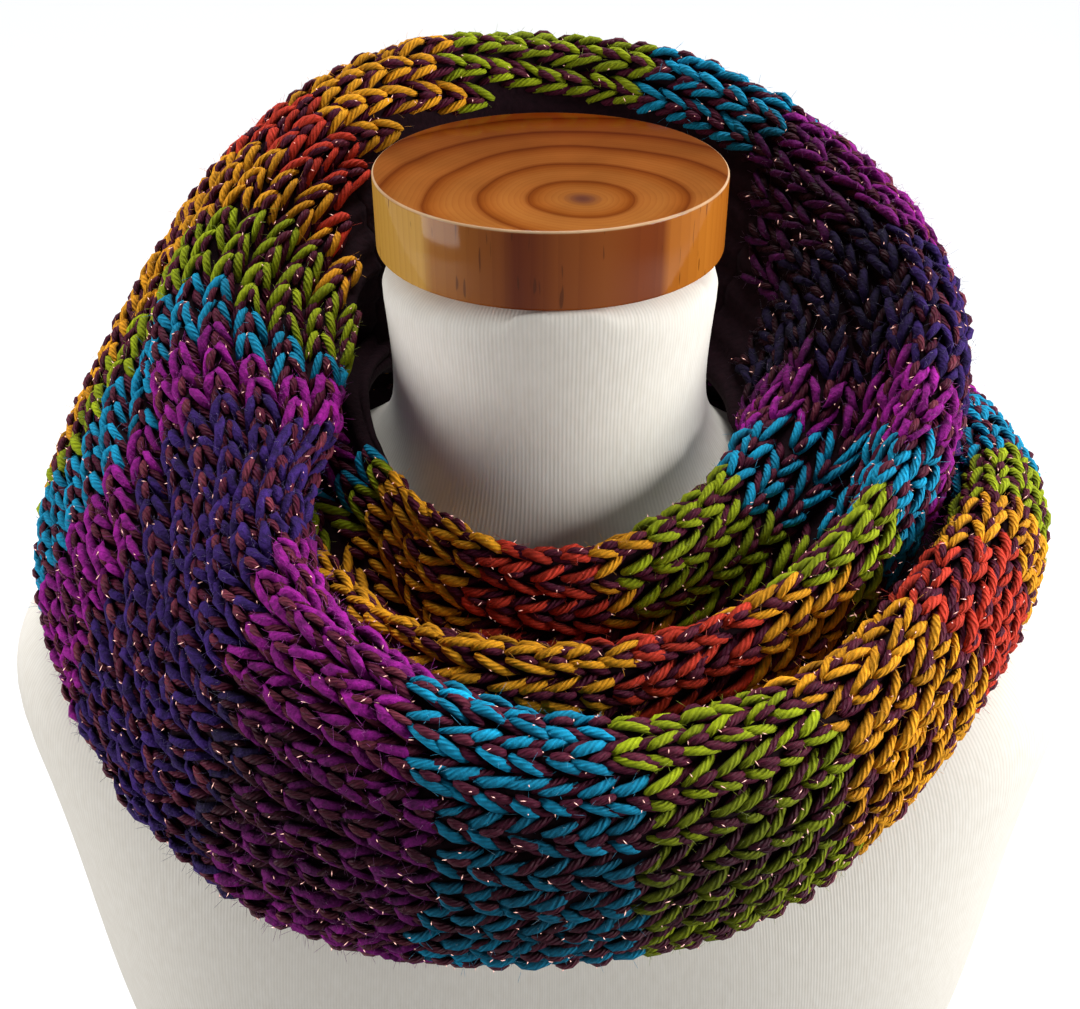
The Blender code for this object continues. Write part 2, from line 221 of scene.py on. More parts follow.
bump = add_node(jersey, "Bump", {"Height": relief.outputs[0], "Strength": 0.16, "Distance": 0.25 * MM})
jersey.node_tree.links.new(rib_shaded_tint.outputs[2], jersey_shader.inputs["Base Color"])
jersey.node_tree.links.new(bump.outputs["Normal"], jersey_shader.inputs["Normal"])

torso = new_piece("torso_jersey", torso_copy(), jersey)
rounding = torso.modifiers.new("smooth_shell", "SUBSURF")
rounding.levels = rounding.render_levels = 2
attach(torso, "root")
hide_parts("form_torso")

# ---- neck cap ----
# A disc sawn across a small pine trunk, turned true, its two edges rounded over, and varnished. The
# growth rings stand upright through it, so they show as rings on top and as upright stripes at the side.
cap_low, cap_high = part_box("form_neck_cap")
CAP_RADIUS = round(cap_high.x, 6)
CAP_TOP = round(cap_high.z, 6)
CAP_THICKNESS = CAP_TOP - round(cap_low.z, 6)
CAP_ROUNDING = 0.9 * MM           # of its two edges
ROUNDING_STEPS = 5
CAP_STEPS = 128
PITH = (0.0099, -0.0298)          # the trunk's centre, ahead of the disc's centre
PITH_MM = (2.0, 6.5)              # radius of the dark pith, and of its soft edge
RING_MM = 16.3                    # from one dark ring to the next
GRAIN_MM = 1.9                    # fine rings between them
ALONG_TRUNK = 0.06                # how little the wood changes along the trunk, against across it
WAVER_MM = (45.45, 8.0)           # length and depth of the rings' waves
BLOTCH_MM = 26.3                  # darker and paler patches
BACK_SHADE_SPAN = (-0.045, 0.055)       # from where to where, front to back, painted shade darkens the top
MARK_MM = (1.667, 1.667, 13.33)   # width, depth and height of the resin marks
EDGE_MM = (1.0, 0.4)              # below the top: where the side's wood ends, and where the top's begins


def cap_shape():
    """The cap's half profile, spun once round."""
    shape = bmesh.new()
    corners = [(0.0, CAP_TOP)]
    for step in range(ROUNDING_STEPS + 1):
        angle = 0.5 * pi * step / ROUNDING_STEPS
        corners.append((CAP_RADIUS - CAP_ROUNDING * (1 - np.sin(angle)),
                        CAP_TOP - CAP_ROUNDING * (1 - np.cos(angle))))
    corners += [(radius, 2 * CAP_TOP - CAP_THICKNESS - height) for radius, height in corners[::-1]]
    points = [shape.verts.new((radius, 0.0, height)) for radius, height in corners]
    edges = [shape.edges.new(pair) for pair in zip(points, points[1:])]
    bmesh.ops.spin(shape, geom=points + edges, cent=(0, 0, 0), axis=(0, 0, 1), angle=2 * pi,
                   steps=CAP_STEPS, use_merge=True)
    bmesh.ops.remove_doubles(shape, verts=shape.verts, dist=1e-6)
    bmesh.ops.recalc_face_normals(shape, faces=shape.faces)
    return shape


# Pine under clear varnish: orange-brown heartwood, with painted shade towards the back, a few wide growth
# rings, a purplish pith and faint grain; at the side pale sapwood at the left, red-brown heart in the
# middle, orange wood at the right and short dark resin marks; a painted highlight pales the top edge.
pine, pine_shader = new_material("varnished_pine", {"Roughness": 0.6, "Specular IOR Level": 0.0,
                                                    "Coat Weight": 0.25, "Coat Roughness": 0.08,
                                                    "Coat IOR": 1.45})
solid = add_node(pine, "TexCoord")
object_axes = add_node(pine, "SeparateXYZ", {"Vector": solid.outputs["Object"]})
centred = add_node(pine, "Mapping", {
    "Vector": solid.outputs["Object"], "Location": (-PITH[0], -PITH[1], 0.0)}, vector_type="POINT")
upright = add_node(pine, "VectorMath", {
    0: centred.outputs["Vector"], 1: (1.0, 1.0, ALONG_TRUNK)}, operation="MULTIPLY")
waver = add_node(pine, "TexNoise", {
    "Vector": upright.outputs["Vector"], "Scale": 1 / (WAVER_MM[0] * MM), "Detail": 2.0})
waver_mid = add_node(pine, "VectorMath", {
    0: waver.outputs["Color"], 1: (0.5, 0.5, 0.5)}, operation="SUBTRACT")
waver_size = add_node(pine, "VectorMath", {
    0: waver_mid.outputs["Vector"], "Scale": WAVER_MM[1] * MM}, operation="SCALE")
bent = add_node(pine, "VectorMath", {
    0: upright.outputs["Vector"], 1: waver_size.outputs["Vector"]}, operation="ADD")
across = add_node(pine, "VectorMath", {0: bent.outputs["Vector"], 1: (1.0, 1.0, 0.0)}, operation="MULTIPLY")
from_pith = add_node(pine, "VectorMath", {0: across.outputs["Vector"]}, operation="LENGTH")
years = add_node(pine, "Math", {0: from_pith.outputs["Value"], 1: 1 / (RING_MM * MM)}, operation="MULTIPLY")
year = add_node(pine, "Math", {0: years.outputs[0]}, operation="FRACT")
rings = add_node(pine, "ValToRGB", {0: year.outputs[0]}, (
    (0.01, "#8d4b1b"), (0.11, "#a8652b"), (0.50, "#ac6a2e"), (0.78, "#a05b22"), (0.92, "#8c4816"),
    (0.985, "#793a12")))
grain_lines = add_node(pine, "Math", {
    0: from_pith.outputs["Value"], 1: 1 / (GRAIN_MM * MM)}, operation="MULTIPLY")
grain_line = add_node(pine, "Math", {0: grain_lines.outputs[0]}, operation="FRACT")
grain = add_node(pine, "ValToRGB", {0: grain_line.outputs[0]}, (
    (0.01, "#ffffff"), (0.60, "#f1e4d8"), (0.95, "#c9a58a")))
blotch = add_node(pine, "TexNoise", {
    "Vector": upright.outputs["Vector"], "Scale": 1 / (BLOTCH_MM * MM), "Detail": 3.0})
grained = add_node(pine, "Mix", {0: 0.25, 6: rings.outputs["Color"], 7: grain.outputs["Color"]},
                   data_type="RGBA", blend_type="MULTIPLY")
blotched = add_node(pine, "Mix", {
    0: 0.35, 6: grained.outputs[2], 7: blotch.outputs["Fac"]}, data_type="RGBA", blend_type="OVERLAY")
# Painted shade: the top's wood is darkened towards the back.
back_shade = add_node(pine, "MapRange", {
    "Value": object_axes.outputs["Y"], "From Min": BACK_SHADE_SPAN[0], "From Max": BACK_SHADE_SPAN[1]})
back_shaded = add_node(pine, "Mix", {0: back_shade.outputs[0], 6: blotched.outputs[2], 7: linear("#9a6c42")},
                    data_type="RGBA", blend_type="MULTIPLY")
pith = add_node(pine, "MapRange", {
    "Value": from_pith.outputs["Value"], "From Min": PITH_MM[0] * MM, "From Max": PITH_MM[1] * MM,
    "To Min": 0.7, "To Max": 0.0})
top_wood = add_node(pine, "Mix", {
    0: pith.outputs[0], 6: back_shaded.outputs[2], 7: linear("#4a2a2c")}, data_type="RGBA")
side_place = add_node(pine, "MapRange", {
    "Value": object_axes.outputs["X"], "From Min": -CAP_RADIUS, "From Max": CAP_RADIUS})
side_wood = add_node(pine, "ValToRGB", {0: side_place.outputs[0]}, (
    (0.02, "#c0903e"), (0.16, "#cf9f50"), (0.19, "#a66a2a"), (0.30, "#98571d"), (0.37, "#8c4a19"),
    (0.41, "#6c2c0c"), (0.46, "#76340e"), (0.52, "#8d4817"), (0.64, "#924c18"), (0.74, "#803a0f"),
    (0.79, "#7a3810"), (0.81, "#ad6420"), (0.92, "#b66e24"), (0.99, "#a25c1a")))
side_grained = add_node(pine, "Mix", {0: 0.2, 6: side_wood.outputs["Color"], 7: grain.outputs["Color"]},
                        data_type="RGBA", blend_type="MULTIPLY")
mark_map = add_node(pine, "Mapping", {
    "Vector": solid.outputs["Object"], "Scale": [1 / (size * MM) for size in MARK_MM]})
marks = add_node(pine, "TexNoise", {"Vector": mark_map.outputs["Vector"], "Scale": 1.0, "Detail": 1.0})
mark_share = add_node(pine, "MapRange", {
    "Value": marks.outputs["Fac"], "From Min": 0.69, "From Max": 0.73, "To Min": 0.0, "To Max": 0.7})
side_marked = add_node(pine, "Mix", {
    0: mark_share.outputs[0], 6: side_grained.outputs[2], 7: linear("#51260a")}, data_type="RGBA")
below_top = add_node(pine, "MapRange", {
    "Value": object_axes.outputs["Z"], "From Min": CAP_TOP - EDGE_MM[0] * MM,
    "From Max": CAP_TOP - EDGE_MM[1] * MM, "To Min": 1.0, "To Max": 0.0})
wood = add_node(pine, "Mix", {
    0: below_top.outputs[0], 6: top_wood.outputs[2], 7: side_marked.outputs[2]}, data_type="RGBA")
# Painted highlight: a pale line along the rounded top edge, where the varnish would catch the light.
rim_highlight_place = add_node(pine, "MapRange", {
    "Value": object_axes.outputs["Z"], "From Min": CAP_TOP - EDGE_MM[0] * MM, "From Max": CAP_TOP})
painted_rim_highlight = add_node(pine, "ValToRGB", {0: rim_highlight_place.outputs[0]}, (
    (0.20, "#000000"), (0.55, "#ffffff"), (0.90, "#ffffff"), (0.97, "#000000")))
rim_highlight_share = add_node(pine, "Math", {
    0: painted_rim_highlight.outputs["Color"], 1: blotch.outputs["Fac"]}, operation="MULTIPLY")
rim_highlighted = add_node(pine, "Mix", {
    0: rim_highlight_share.outputs[0], 6: wood.outputs[2], 7: linear("#ffe3b8")}, data_type="RGBA")
pine.node_tree.links.new(rim_highlighted.outputs[2], pine_shader.inputs["Base Color"])

cap = new_piece("neck_cap_wood", cap_shape(), pine)
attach(cap, "root")
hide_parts("form_neck_cap")

# ---- the scarf's strip ----
# One endless strip of two-coloured fisherman's rib, wound twice round the neck. Its run is counted in
# degrees round the neck, the turn; its share goes from 0 at the neck's side to 1 at the outer hem.
# The sections are those of the CAD cloth: (distance from the neck's axis, depth below the cap's top)
# in centimetres, on the line that joins the tops of the ribs.
WALES = 16
LOOP_START = -40.0                # degrees, the turn at which the strip's run is counted from
FULL_RUN = 720.0
# Each row is a turn and then the section's inner edge, inner wall, inner fold and groove, and its crest,
# shoulder, flank and outer edge.
SECTIONS = (
    (-30, (12.6, 13.8), (11.9, 11.8), (12.4, 9.4), (14.0, 9.2),
     (15.7, 11.2), (17.2, 14.9), (16.9, 19.1), (12.6, 21.1)),
    (0, (13.3, 15.6), (12.9, 13.2), (13.3, 11.3), (14.7, 11.3),
     (16.1, 13.3), (16.7, 16.6), (15.4, 20.0), (11.2, 21.9)),
    (30, (13.5, 15.4), (13.2, 13.1), (13.7, 11.3), (15.0, 11.3),
     (16.3, 13.1), (16.8, 15.9), (15.6, 19.3), (12.5, 20.9)),
    (60, (13.9, 13.9), (13.6, 11.6), (14.2, 9.6), (15.7, 9.7),
     (16.8, 11.4), (17.1, 13.8), (16.2, 16.0), (14.8, 16.5)),
    (90, (14.6, 13.2), (14.4, 11.2), (14.9, 9.6), (16.1, 9.4),
     (17.4, 10.4), (18.1, 12.0), (18.1, 13.7), (16.9, 14.7)),
    (120, (13.3, 12.4), (13.1, 10.8), (13.7, 9.4), (14.9, 9.1),
     (16.2, 10.0), (16.8, 11.8), (16.3, 13.7), (14.2, 15.0)),
    (150, (10.9, 12.3), (10.6, 10.4), (11.5, 8.7), (12.9, 8.2),
     (14.4, 9.1), (15.1, 11.2), (14.4, 13.8), (12.2, 15.2)),
    (180, (9.3, 12.0), (9.0, 10.1), (9.9, 8.5), (11.3, 8.0),
     (12.8, 8.9), (13.6, 11.1), (13.0, 13.8), (11.0, 15.2)),
    (210, (8.6, 11.4), (8.3, 9.9), (9.2, 8.6), (10.6, 8.3),
     (12.1, 9.1), (13.1, 10.9), (12.9, 13.0), (11.4, 14.2)),
    (240, (7.2, 9.9), (6.7, 8.7), (7.6, 7.9), (9.3, 8.2),
     (11.0, 9.0), (12.5, 10.2), (13.2, 11.7), (12.4, 12.8)),
    (270, (6.5, 9.3), (6.0, 8.4), (6.7, 7.7), (8.3, 8.0),
     (10.2, 8.8), (11.8, 9.6), (12.9, 10.8), (12.4, 11.9)),
    (300, (6.8, 9.9), (6.1, 8.8), (6.9, 8.2), (8.7, 10.2),
     (10.2, 9.8), (11.5, 10.4), (12.3, 11.6), (12.1, 12.9)),
    (315, (7.0, 10.6), (6.4, 9.4), (7.3, 8.7), (8.7, 11.4),
     (9.9, 10.6), (10.8, 11.3), (11.2, 12.8), (10.9, 14.2)),
    (330, (7.2, 11.2), (6.7, 9.8), (7.7, 9.2), (9.0, 12.6),
     (10.4, 10.8), (11.4, 11.6), (11.8, 13.4), (11.5, 15.4)),
    (360, (7.3, 11.6), (7.4, 9.9), (8.4, 9.6), (9.3, 13.0),
     (10.7, 10.8), (11.8, 11.6), (12.3, 13.6), (12.2, 16.0)),
    (390, (7.4, 10.6), (7.4, 8.9), (8.6, 9.2), (9.7, 12.6),
     (11.1, 10.3), (12.2, 11.2), (12.6, 13.2), (12.5, 15.4)),
    (420, (6.7, 9.9), (7.2, 7.9), (8.8, 8.4), (10.7, 9.8),
     (12.1, 7.5), (13.3, 8.4), (13.4, 10.8), (12.9, 13.2)),
    (450, (6.1, 8.9), (7.4, 7.4), (8.6, 5.7), (10.3, 4.9),
     (12.2, 3.5), (14.1, 4.6), (14.6, 7.8), (13.9, 11.5)),
    (480, (6.0, 8.7), (7.6, 6.6), (8.8, 3.6), (10.1, 1.6),
     (11.7, 0.8), (13.4, 1.9), (14.0, 4.8), (13.6, 7.9)),
    (510, (6.1, 8.6), (7.9, 5.9), (8.8, 2.5), (9.8, 0.1),
     (11.1, -1.0), (12.5, 0.3), (13.3, 3.2), (13.2, 7.2)),
    (540, (6.5, 8.7), (8.1, 5.6), (8.9, 2.2), (9.8, -0.4),
     (11.1, -1.5), (12.5, -0.2), (13.4, 2.9), (13.3, 7.5)),
    (570, (7.0, 8.3), (7.9, 5.3), (8.7, 2.0), (9.9, -0.8),
     (11.4, -1.5), (13.0, -0.1), (14.2, 3.3), (14.2, 8.3)),
    (600, (7.6, 6.8), (7.1, 5.0), (8.1, 2.8), (10.2, 0.8),
     (12.6, 0.8), (14.8, 2.9), (15.7, 6.6), (16.2, 10.3)),
    (630, (7.0, 6.6), (6.6, 5.6), (8.4, 4.7), (11.1, 4.1),
     (14.0, 5.3), (16.5, 8.2), (18.5, 11.6), (17.9, 14.2)),
    (660, (8.4, 8.4), (7.8, 7.2), (9.4, 6.5), (11.8, 7.1),
     (14.3, 9.1), (16.8, 12.0), (18.1, 15.4), (16.8, 17.1)),
    (675, (10.8, 9.6), (10.3, 8.7), (11.0, 7.8), (12.9, 8.2),
     (15.0, 10.3), (17.0, 13.6), (17.7, 17.3), (14.6, 19.8)),
)

# The soft crease pressed into the left strand: its first and last turn, where it is deepest across the
# strip (share of the width) at each of them, how deep and how wide in centimetres.
CREASE = (608.0, 668.0, 0.57, 0.43, 0.65, 1.10)
CURVE_STEPS = 12                  # between two points of a section
FINE_STEP = 1.0                   # degrees between the rows of the strip's grid
FINE_COLUMNS = 12 * WALES + 1
SPARE_RUN = 20.0                  # how far the grid goes on beyond each end of the loop


def blend(before, start, end, after, share, gaps=(1.0, 1.0, 1.0)):
    """Smooth value between start and end; gaps are the steps between the four values."""
    leave = (end - before) / (gaps[0] + gaps[1]) * gaps[1]
    arrive = (after - start) / (gaps[1] + gaps[2]) * gaps[1]
    return (start * (2 * share ** 3 - 3 * share ** 2 + 1) + leave * (share ** 3 - 2 * share ** 2 + share)
            + end * (3 * share ** 2 - 2 * share ** 3) + arrive * (share ** 3 - share ** 2))


def section_points(turn):
    """The eight points of the strip's section at a turn, in centimetres."""
    first = SECTIONS[0][0]
    place = (turn - first) % FULL_RUN + first
    count = len(SECTIONS)
    index = max(i for i in range(count) if SECTIONS[i][0] <= place)
    near = [SECTIONS[(index + step) % count] for step in (-1, 0, 1, 2)]
    gaps = [(after[0] - before[0]) % FULL_RUN for before, after in zip(near, near[1:])]
    return blend(*(np.array(row[1:]) for row in near), (place - near[1][0]) / gaps[1], gaps)


def lengths_along(line):
    """Distance along a line at each of its points."""
    return np.concatenate([[0.0], np.cumsum(np.linalg.norm(np.diff(line, axis=0), axis=1))])


def strip_line(turn, columns):
    """Points evenly spaced along the strip's section at a turn, with its crease pressed in."""
    points = section_points(turn)
    chain = np.vstack([2 * points[0] - points[1], points, 2 * points[-1] - points[-2]])
    steps = np.linspace(0.0, 1.0, CURVE_STEPS, endpoint=False)[:, None]
    line = np.vstack([blend(*chain[i:i + 4], steps) for i in range(len(points) - 1)] + [points[-1:]])
    along = lengths_along(line)
    width = along[-1]
    slope = np.gradient(line, along, axis=0)
    outward = np.stack([slope[:, 1], -slope[:, 0]], 1) / np.linalg.norm(slope, axis=1)[:, None]
    first_turn, last_turn, first_share, last_share, deepest, spread = CREASE
    run = (turn - first_turn) / (last_turn - first_turn)
    if 0.0 < run < 1.0:
        middle = first_share + (last_share - first_share) * run
        depth = deepest * min(1.0, 5.0 * run) * min(1.0, 2.2 * (1.0 - run))
        line = line - outward * (depth * np.exp(-((along - middle * width) / spread) ** 2))[:, None]
    along = lengths_along(line)
    even = np.linspace(0.0, along[-1], columns)
    return np.stack([np.interp(even, along, line[:, axis]) for axis in (0, 1)], 1)


rows = np.arange(LOOP_START - SPARE_RUN, LOOP_START + FULL_RUN + SPARE_RUN + 0.1, FINE_STEP)
sections = np.array([strip_line(turn, FINE_COLUMNS) for turn in rows]) * CM
angles = np.radians(rows)[:, None]
STRIP = np.stack([sections[..., 0] * np.sin(angles), -sections[..., 0] * np.cos(angles),
                  CAP_TOP - sections[..., 1]], -1)
STRIP_WIDTH = np.linalg.norm(np.diff(STRIP, axis=1), axis=2).sum(1)
runs = np.gradient(STRIP, axis=0)
spans = np.gradient(STRIP, axis=1)
outs = np.cross(spans, runs)
STRIP_OUT = outs / np.linalg.norm(outs, axis=2)[..., None]


def on_strip(grid, turn, share):
    """The strip grid's value at turns and shares, between its rows and columns."""
    row = np.clip((np.asarray(turn) - rows[0]) / FINE_STEP, 0, len(rows) - 1.001)
    column = np.clip(np.asarray(share), 0.0, 1.0) * (FINE_COLUMNS - 1.001)
    i, j = row.astype(int), column.astype(int)
    a, b = (row - i)[..., None], (column - j)[..., None]
    return ((grid[i, j] * (1 - a) + grid[i + 1, j] * a) * (1 - b)
            + (grid[i, j + 1] * (1 - a) + grid[i + 1, j + 1] * a) * b)


# ---- the dye's stripes ----
# The coloured yarn is dyed in long stretches, so its colours cross the strip in bands. Each boundary
# is a list of (turn, share) from the neck's side outward; the colour named begins at it.
DYES = {
    "violet": "#371c66",
    "purple": "#9a188e",
    "blue": "#0d9ac6",
    "green": "#9cab12",
    "gold": "#f2a61e",
    "rust": "#d83f2a",
}
BANDS = (
    ("violet", [(-80, 0.0), (-80, 1.0)]),
    ("purple", [(-40, 0.37), (-35, 0.42), (-32, 0.49), (-35, 0.68)]),
    ("blue", [(-15.7, 0.28), (-15, 0.36), (-11.5, 0.45), (-12, 0.55), (-13, 0.66)]),
    ("green", [(7, 0.28), (9.4, 0.38), (8.2, 0.54), (8.8, 0.67)]),
    ("gold", [(28, 0.27), (30.5, 0.33), (33, 0.40), (31, 0.49), (35, 0.72)]),
    ("rust", [(46, 0.33), (49.5, 0.44), (54.5, 0.61)]),
    ("gold", [(58, 0.35), (67.5, 0.54), (66.5, 0.64)]),
    ("green", [(69, 0.34), (71.5, 0.40), (74, 0.46), (76, 0.57)]),
    ("blue", [(80.5, 0.35), (86, 0.42), (86, 0.54)]),
    ("purple", [(99, 0.5)]),
    ("violet", [(112, 0.5)]),
    ("purple", [(139, 0.5)]),
    ("blue", [(156, 0.5)]),
    ("green", [(171, 0.5)]),
    ("gold", [(187, 0.5)]),
    ("rust", [(200, 0.5)]),
    ("gold", [(212, 0.5)]),
    ("green", [(221, 0.5)]),
    ("blue", [(231, 0.5)]),
    ("purple", [(242, 0.5)]),
    ("violet", [(255, 0.5)]),
    ("purple", [(272, 0.5)]),
    ("blue", [(291, 0.5)]),
    ("green", [(298, 0.5)]),
    ("gold", [(306, 0.31)]),
    ("rust", [(343, 0.26), (338, 0.33), (336, 0.39), (373, 0.64), (370, 0.73)]),
    ("gold", [(364.6, 0.20), (364.6, 0.29), (390, 0.67), (391, 0.76)]),
    ("green", [(378, 0.18), (375, 0.28), (406, 0.74)]),
    ("blue", [(409, 0.14), (403, 0.23), (412, 0.38), (417, 0.60), (416, 0.81), (414, 0.87)]),
    ("purple", [(425, 0.13), (428, 0.25), (431, 0.35), (422, 0.57), (427.5, 0.66)]),
    ("violet", [(449, 0.06), (437, 0.32), (439.6, 0.44), (434.6, 0.54), (437, 0.61)]),
    ("purple", [(465, 0.44), (457, 0.48)]),
    ("blue", [(487, 0.48)]),
    ("green", [(517, 0.48)]),
    ("gold", [(560.5, 0.45)]),
    ("rust", [(587, 0.29), (590, 0.40)]),
    ("gold", [(605, 0.17), (603.5, 0.25), (605, 0.32), (602, 0.48)]),
    ("green", [(620, 0.09), (612.5, 0.26), (615, 0.35), (625, 0.62), (632, 0.65)]),
    ("blue", [(641, 0.10), (635, 0.23), (626, 0.33), (625, 0.45), (636, 0.62)]),
    ("purple", [(650, 0.11), (644, 0.22), (638, 0.30), (636, 0.40), (640, 0.48), (647.5, 0.53)]),
    ("violet", [(660, 0.07), (655, 0.23), (651, 0.31), (649, 0.43), (652, 0.50), (660, 0.57)]),
    ("purple", [(680, 0.37), (685, 0.42), (688, 0.49), (685, 0.68)]),
)

BRUSHED = ("violet", "purple")    # the yarn is fluffier in these colours


def dye_at(turn, share):
    """The dye's linear colour at turns and shares, and in its alpha how far the yarn is brushed."""
    colour = np.zeros(np.shape(turn) + (4,))
    for name, boundary in BANDS:
        places, shares = np.array(boundary, float).T
        past = turn >= np.interp(share, shares, places)
        colour[past] = linear(DYES[name])[:3] + (float(name in BRUSHED),)
    return colour


# ---- the scarf's stitches ----
# Fisherman's rib in two yarns: each raised wale is a chain of V stitches in the dyed yarn, thick and
# softly plied. Under it, half a stitch on, lies a thinner V of burgundy yarn with a metallic filament,
# and a short bar of the burgundy shows in the middle of the wale.
STITCH = 9.8 * MM                 # along the run, from one V to the next
WALE = 12.4 * MM                  # across the strip, from one wale to the next
# A leg of a V: lag and reach along the run, in stitches; start and end across, in wales; radius; how high
# its middle stands over the strip, how far its ends dip, how loosely it lies, and how far it sinks (or
# rises, where negative) in the places that sunk() gives.
LEG = dict(lag=0.0, reach=1.36, start=0.05, end=0.42, radius=1.62 * MM, top=0.6 * MM, dip=3.0 * MM,
           loose=1.5, sink=0.7 * MM)
UNDER_LEG = dict(lag=0.55, reach=1.15, start=0.10, end=0.47, radius=1.6 * MM, top=-0.6 * MM, dip=1.6 * MM,
                 loose=1.3, sink=-0.2 * MM)
BAR = dict(lag=0.36, reach=0.74, start=0.00, end=0.10, radius=1.4 * MM, top=0.1 * MM, dip=1.5 * MM,
           loose=1.4, sink=0.0)
UNEVEN = 0.10                     # share by which legs differ in reach and in thickness
WANDER = dict(start=0.03, end=0.05, top=0.40 * MM, lag=0.9 * MM)     # how far they stray from the above
BLUNT = 0.6                       # under 1, so that a leg is fuller near its ends than an ellipsoid
VALLEY = 4.2 * MM                 # how much lower the edge of a wale lies than its middle
HEM_MARGIN = 0.30                 # of a wale, kept free of stitches at each hem
chance = np.random.default_rng(11)


def leaf(sides, steps):
    """A tapered, closed leaf, one unit each way along z: its corners and faces."""
    shape = bmesh.new()
    bmesh.ops.create_uvsphere(shape, u_segments=sides, v_segments=steps, radius=1.0)
    corners = np.array([corner.co for corner in shape.verts])
    faces = [[corner.index for corner in face.verts] for face in shape.faces]
    shape.free()
    return corners, faces


LEAF_CORNERS, LEAF_FACES = leaf(6, 6)
SLIM_CORNERS, SLIM_FACES = leaf(5, 5)
GLINT_CORNERS, GLINT_FACES = leaf(4, 2)
FIBRE_CORNERS, FIBRE_FACES = leaf(3, 3)

# Near the neck no stitches, so the dark ground shows as painted shade: (turn, share where its stitches
# begin).
SHADE_EDGE = ((-40, 0), (60, 0), (120, 0.30), (230, 0.30), (300, 0.26), (325, 0), (440, 0),
             (455, 0.08), (470, 0.20), (485, 0.38), (500, 0.43), (540, 0.40), (560, 0.375), (575, 0.32),
             (590, 0.24), (600, 0.16), (610, 0.10), (625, 0.04), (635, 0), (680, 0))


def stitch_places():
    """Turn, share and length of each V: even steps along every wale, all round the loop."""
    places = []
    inside = (rows >= LOOP_START) & (rows <= LOOP_START + FULL_RUN)
    turns, widths = rows[inside], STRIP_WIDTH[inside]
    most = int(widths.max() / WALE / 2) + 1
    for wale in range(-most, most + 1):
        shares = 0.5 + wale * WALE / widths
        along = lengths_along(on_strip(STRIP, turns, shares))
        count = round(along[-1] / STITCH)
        steps = (np.arange(count) + 0.5 * (wale % 2) + chance.random()) * along[-1] / count
        turn = np.interp(steps % along[-1], along, turns)
        width = np.interp(turn, turns, widths)
        shows = (np.abs(wale) * WALE < 0.5 * width - HEM_MARGIN * WALE) & (
            0.5 + wale * WALE / width > np.interp(turn, *np.array(SHADE_EDGE).T))
        places.append(np.stack([turn, 0.5 + wale * WALE / width,
                                np.full(count, along[-1] / count)], 1)[shows])
    return np.vstack(places)


def sunk(turn, share):
    """How far the dyed yarn sinks into the burgundy, 0 to 1: only low on the front wrap."""
    low = np.interp(share, (0.34, 0.46, 0.64, 0.74), (0.0, 1.0, 1.0, 0.5))
    return low * np.interp(turn, (20.0, 36.0), (1.0, 0.0))


def painted_fold_shade(turn, share):
    """How much painted shade a stitch of the right rise gets in the fold beside the neck, 0 to 1."""
    brink = np.interp(turn, (440.0, 480.0), (0.54, 0.60))
    along = np.interp(turn, (430.0, 442.0, 484.0, 496.0), (0.0, 1.0, 1.0, 0.0))
    return along * np.clip((brink - share) / 0.14, 0.0, 1.0)


def legs_along_strip(places, leg, template):
    """Corner positions and twist coordinates of both legs of every V."""
    sides = np.tile([-1.0, 1.0], len(places))
    turn, share, length = np.repeat(places, 2, axis=0).T
    count = len(turn)
    metres_per_degree = np.linalg.norm(on_strip(runs, turn, share), axis=1) / FINE_STEP
    steps = 0.5 + 0.5 * template[:, 2]
    wander = chance.normal(0.0, 1.0, (count, 6))
    reach = leg["reach"] * length * (1 + UNEVEN * wander[:, 0])
    start = WALE * (leg["start"] + WANDER["start"] * leg["loose"] * wander[:, 1])
    end = WALE * (leg["end"] + WANDER["end"] * leg["loose"] * wander[:, 2])
    radius = leg["radius"] * (1 + UNEVEN * wander[:, 3])
    top = leg["top"] + WANDER["top"] * wander[:, 4] - leg["sink"] * sunk(turn, share)
    lag = leg["lag"] * length + WANDER["lag"] * wander[:, 5]

    def centre(step):
        """The middle of each leg at a step from 0 to 1 along it, bowed outward and low at both ends."""
        aside = sides * (start + (end - start) * step ** 0.85)
        ahead = (lag + reach * step) / metres_per_degree
        low = leg["dip"] * np.abs(2 * step - 1) ** 2.4 + VALLEY * (2 * aside / WALE) ** 2
        there = turn + ahead
        offset = (share - 0.5) * np.interp(turn, rows, STRIP_WIDTH) + aside
        where = (there, 0.5 + offset / np.interp(there, rows, STRIP_WIDTH))
        spot = on_strip(STRIP, *where)
        out = on_strip(STRIP_OUT, *where)
        return spot + out * (top - radius - low)[:, None], out

    corners = np.zeros((count, len(steps), 3))
    twist = np.zeros((count, len(steps), 3))
    for k, (x, y, z) in enumerate(template):
        step = steps[k]
        spot, out = centre(step)
        ahead_spot = centre(min(step + 0.04, 1.0))[0]
        behind_spot = centre(max(step - 0.04, 0.0))[0]
        along = ahead_spot - behind_spot
        along /= np.linalg.norm(along, axis=1)[:, None]
        across = np.cross(out, along)
        across /= np.linalg.norm(across, axis=1)[:, None]
        upright = np.cross(along, across)
        fat = np.hypot(x, y)
        size = (radius * fat ** BLUNT)[:, None] if fat > 1e-6 else 0.0
        ring = np.array([x, y]) / max(fat, 1e-6)
        corners[:, k] = spot + size * (ring[0] * across + ring[1] * upright)
        twist[:, k, :2] = ring
        twist[:, k, 2] = step * reach
    return corners, twist


